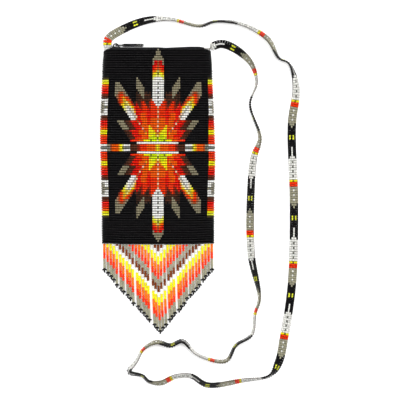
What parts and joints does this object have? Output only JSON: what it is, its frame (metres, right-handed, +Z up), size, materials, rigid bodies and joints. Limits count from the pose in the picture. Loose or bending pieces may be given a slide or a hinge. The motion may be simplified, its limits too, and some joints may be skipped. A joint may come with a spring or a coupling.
{
  "type": "phone pouch",
  "caption": "Flat beaded pouch for a phone: loomed bead sleeve with a cloth lining, a zip along the top edge, a beaded fringe below and a long narrow beaded strap.",
  "frame": {"origin": "on the surface the pouch lies on, below the middle of the pouch without its strap", "axes": "+Y from the fringe to the zip, +Z up through the patterned front, +X to the right seen from the front"},
  "size_m": [0.1794, 0.3348, 0.012],
  "materials": {
    "pattern_beads": "opaque glossy glass beads, mostly black, with a feather star in red, orange, yellow, white and grey",
    "fringe_beads": "opaque glossy glass beads in chevrons of red, orange, yellow, white, brown and grey",
    "strap_beads": "opaque glossy glass beads in repeats of white, orange, grey and black",
    "lining_cloth": "plain black woven cloth",
    "zip_tape": "black ribbed tape",
    "zip_coil": "black nylon coil",
    "slider_metal": "black lacquered metal, worn bright at its edges",
    "tab_metal": "black lacquered metal"
  },
  "bodies": {
    "pouch": {"bead_sleeve": "pattern_beads", "lining": "lining_cloth", "zipper_tape_front": "zip_tape", "zipper_tape_back": "zip_tape", "zipper_coil_front": "zip_coil", "zipper_coil_back": "zip_coil", "top_stop_front": "slider_metal", "top_stop_back": "slider_metal", "bottom_stop": "slider_metal", "strap": "strap_beads", "fringe_strand_01": "fringe_beads", "fringe_strand_02": "fringe_beads", "fringe_strand_03": "fringe_beads", "fringe_strand_04": "fringe_beads", "fringe_strand_05": "fringe_beads", "fringe_strand_06": "fringe_beads", "fringe_strand_07": "fringe_beads", "fringe_strand_08": "fringe_beads", "fringe_strand_09": "fringe_beads", "fringe_strand_10": "fringe_beads", "fringe_strand_11": "fringe_beads", "fringe_strand_12": "fringe_beads", "fringe_strand_13": "fringe_beads", "fringe_strand_14": "fringe_beads", "fringe_strand_15": "fringe_beads", "fringe_strand_16": "fringe_beads", "fringe_strand_17": "fringe_beads", "fringe_strand_18": "fringe_beads", "fringe_strand_19": "fringe_beads", "fringe_strand_20": "fringe_beads", "fringe_strand_21": "fringe_beads", "fringe_strand_22": "fringe_beads", "fringe_strand_23": "fringe_beads", "fringe_strand_24": "fringe_beads", "fringe_strand_25": "fringe_beads", "fringe_strand_26": "fringe_beads", "fringe_strand_27": "fringe_beads", "fringe_strand_28": "fringe_beads", "fringe_strand_29": "fringe_beads", "fringe_strand_30": "fringe_beads", "fringe_strand_31": "fringe_beads", "fringe_strand_32": "fringe_beads", "fringe_strand_33": "fringe_beads", "fringe_strand_34": "fringe_beads", "fringe_strand_35": "fringe_beads"},
    "zip_slider": {"slider": "slider_metal"},
    "zip_pull": {"pull_tab": "tab_metal"}
  },
  "joints": [
    {"name": "slider_travel", "type": "slide", "parent": "pouch", "child": "zip_slider", "axis": [1, 0, 0], "range_m": [0, 0.0744]},
    {"name": "pull_swing", "type": "hinge", "parent": "zip_slider", "child": "zip_pull", "pos_m": [-0.0372, 0.1291, 0.006], "axis": [0, 0, 1], "range_deg": [0, 180]}
  ]
}
